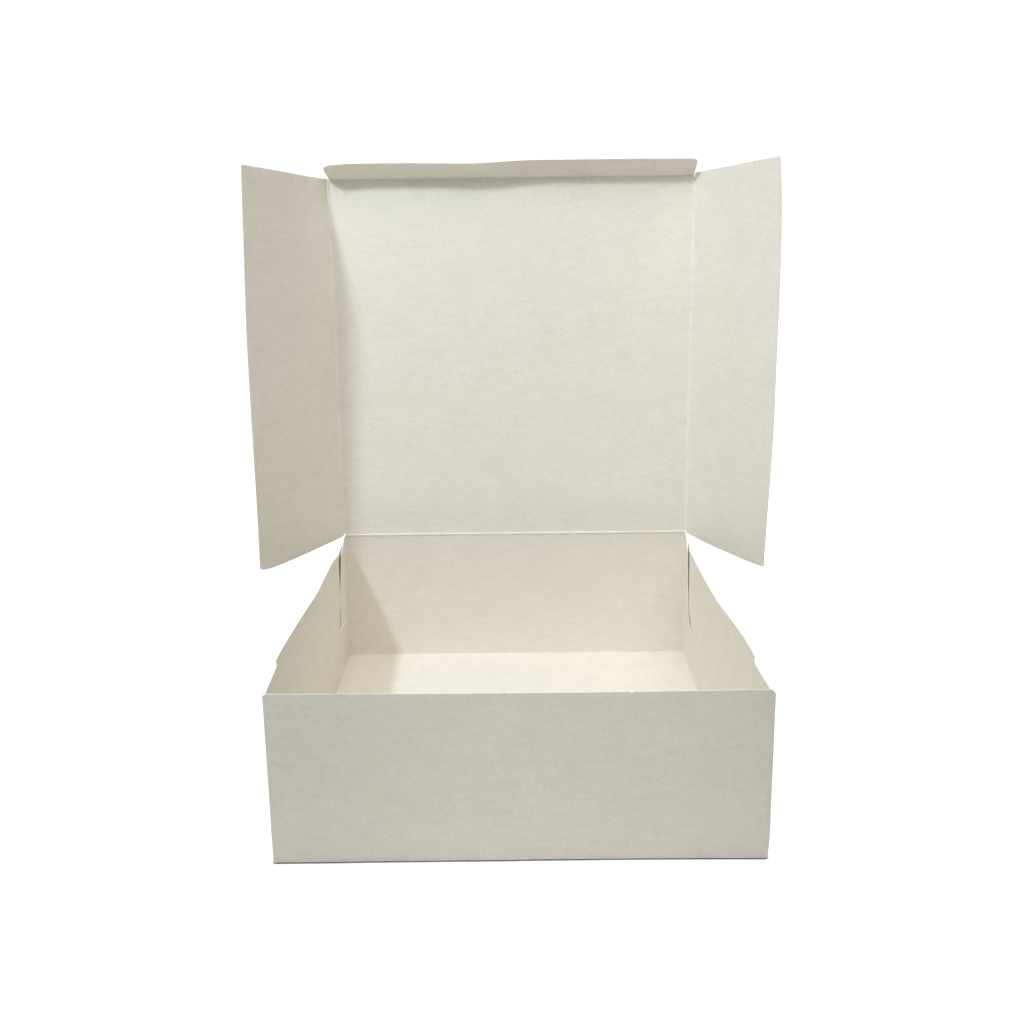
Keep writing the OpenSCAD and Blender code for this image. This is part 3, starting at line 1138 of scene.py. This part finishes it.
class PASTRY_OT_stage(bpy.types.Operator):
    """Sets the pale floor, the soft light and the camera"""

    bl_idname = "pastry.stage"
    bl_label = "Stage"

    def execute(self, context):
        studio = context.scene.pastry_box.studio
        self.surroundings(context, studio)
        self.floor(context)
        self.lamps(context, studio)
        self.camera(context, studio)
        return {"FINISHED"}

    def lamps(self, context, studio):
        """The key above on the left, the broad fill above and the soft spot on the front wall"""
        key = self.lamp(context, "key_light", "AREA", KEY_PLACE, BOX_MIDDLE)
        key.energy, key.color, key.size = studio.key_power, COOL, 0.07
        fill = self.lamp(context, "fill_light", "AREA", FILL_PLACE, BOX_MIDDLE)
        fill.energy, fill.color, fill.size = studio.fill_power, WARM, 0.6
        spot = self.lamp(context, "front_light", "SPOT", SPOT_PLACE, FRONT_MIDDLE)
        spot.energy, spot.color = studio.front_power, PLAIN
        spot.spot_size = math.radians(27)
        spot.spot_blend = 1.0
        spot.shadow_soft_size = 0.02

    def surroundings(self, context, studio):
        """Faint light all round, a broad window on the left and behind, and a white backdrop"""
        world = bpy.data.worlds.new("white_surroundings")
        world.use_nodes = True
        nodes, links = world.node_tree.nodes, world.node_tree.links
        light = nodes["Background"]
        light.inputs["Color"].default_value = (1.0, 0.98, 0.95, 1.0)
        light.inputs["Strength"].default_value = studio.ambient
        coords = nodes.new("ShaderNodeTexCoord")
        around = nodes.new("ShaderNodeSeparateXYZ")
        links.new(coords.outputs["Generated"], around.inputs["Vector"])
        for axis, strength, colour in (
            ("X", -studio.left_window, (1.0, 0.92, 0.76, 1.0)),
            ("Y", studio.back_window, (1.0, 0.97, 0.93, 1.0)),
        ):
            facing = reckon(world.node_tree, "MULTIPLY", around.outputs[axis], strength)
            one_side = reckon(world.node_tree, "MAXIMUM", facing, 0.0)
            window = nodes.new("ShaderNodeBackground")
            window.inputs["Color"].default_value = colour
            links.new(one_side, window.inputs["Strength"])
            both = nodes.new("ShaderNodeAddShader")
            links.new(light.outputs[0], both.inputs[0])
            links.new(window.outputs["Background"], both.inputs[1])
            light = both
        backdrop = nodes.new("ShaderNodeBackground")
        backdrop.inputs["Color"].default_value = WHITE
        backdrop.inputs["Strength"].default_value = 1.1
        path = nodes.new("ShaderNodeLightPath")
        mix = nodes.new("ShaderNodeMixShader")
        links.new(path.outputs["Is Camera Ray"], mix.inputs["Fac"])
        links.new(light.outputs[0], mix.inputs[1])
        links.new(backdrop.outputs["Background"], mix.inputs[2])
        links.new(mix.outputs["Shader"], nodes["World Output"].inputs["Surface"])
        context.scene.world = world
        context.scene.view_settings.view_transform = "Standard"

    def floor(self, context):
        """A white floor whose colour and glow carry a painted contact shadow, dark only in a thin
        line round the foot of the box
        """
        bm = bmesh.new()
        bmesh.ops.create_grid(bm, x_segments=8, y_segments=8, size=6.0)
        mesh = bpy.data.meshes.new("studio_floor")
        bm.to_mesh(mesh)
        bm.free()
        material = bpy.data.materials.new("pale_floor")
        material.use_nodes = True
        tree = material.node_tree
        nodes, links = tree.nodes, tree.links
        paint = nodes["Principled BSDF"]
        paint.inputs["Roughness"].default_value = 0.9
        paint.inputs["Specular IOR Level"].default_value = 0.0
        glow = nodes.new("ShaderNodeEmission")
        path = nodes.new("ShaderNodeLightPath")
        # Ambient occlusion paints a contact shadow into the floor's colour and glow.
        contact = nodes.new("ShaderNodeAmbientOcclusion")
        contact.inputs["Distance"].default_value = 0.0016
        bare = reckon(tree, "POWER", contact.outputs["AO"], 3.0)
        links.new(reckon(tree, "MULTIPLY", bare, 0.9), paint.inputs["Base Color"])
        seen = reckon(tree, "MULTIPLY", path.outputs["Is Camera Ray"], bare)
        links.new(seen, glow.inputs["Strength"])
        both = nodes.new("ShaderNodeAddShader")
        links.new(paint.outputs["BSDF"], both.inputs[0])
        links.new(glow.outputs["Emission"], both.inputs[1])
        links.new(both.outputs["Shader"], nodes["Material Output"].inputs["Surface"])
        mesh.materials.append(material)
        floor = bpy.data.objects.new("studio_floor", mesh)
        context.collection.objects.link(floor)

    def lamp(self, context, name, kind, place, aim):
        light = bpy.data.lights.new(name, kind)
        lamp = bpy.data.objects.new(name, light)
        context.collection.objects.link(lamp)
        lamp.location = place
        lamp.rotation_euler = (Vector(place) - aim).to_track_quat("Z", "Y").to_euler()
        return light

    def camera(self, context, studio):
        lens = bpy.data.cameras.new("photo_camera")
        lens.sensor_width = 36.0
        lens.lens = studio.focal_length
        lens.shift_x, lens.shift_y = SHIFT_X, SHIFT_Y
        lens.clip_start = 0.01
        camera = bpy.data.objects.new("photo_camera", lens)
        context.collection.objects.link(camera)
        turn = (
            Matrix.Rotation(math.radians(HEADING), 4, "Z")
            @ Matrix.Rotation(math.radians(90 + TILT), 4, "X")
            @ Matrix.Rotation(math.radians(ROLL), 4, "Z")
        )
        camera.matrix_world = Matrix.Translation(CAMERA_PLACE) @ turn
        context.scene.camera = camera


class PASTRY_PT_panel(bpy.types.Panel):
    """Lists the settings and the steps that build the box"""

    bl_idname = "PASTRY_PT_panel"
    bl_label = "Pastry box"
    bl_space_type = "VIEW_3D"
    bl_region_type = "UI"
    bl_category = "Pastry box"

    def draw(self, context):
        settings = context.scene.pastry_box
        for group in (settings.sizes, settings.colours, settings.studio):
            box = self.layout.box()
            for key in group.__annotations__:
                box.prop(group, key)
        for step in STEPS:
            self.layout.operator(step.bl_idname)


STEPS = (
    PASTRY_OT_floor,
    PASTRY_OT_end_walls,
    PASTRY_OT_side_walls,
    PASTRY_OT_lid_panel,
    PASTRY_OT_lid_flaps,
    PASTRY_OT_tuck_flap,
    PASTRY_OT_creases,
    PASTRY_OT_stage,
)
CLASSES = (BoxSizes, BoardColours, StudioSettings, PastryBoxSettings, *STEPS, PASTRY_PT_panel)


def register():
    for cls in CLASSES:
        bpy.utils.register_class(cls)
    bpy.types.Scene.pastry_box = bpy.props.PointerProperty(type=PastryBoxSettings)


def unregister():
    del bpy.types.Scene.pastry_box
    for cls in reversed(CLASSES):
        bpy.utils.unregister_class(cls)


def main():
    register()
    bpy.ops.pastry.floor()
    bpy.ops.pastry.end_walls()
    bpy.ops.pastry.side_walls()
    bpy.ops.pastry.lid_panel()
    bpy.ops.pastry.lid_flaps()
    bpy.ops.pastry.tuck_flap()
    bpy.ops.pastry.creases()
    bpy.ops.pastry.stage()


if __name__ == "__main__":
    main()
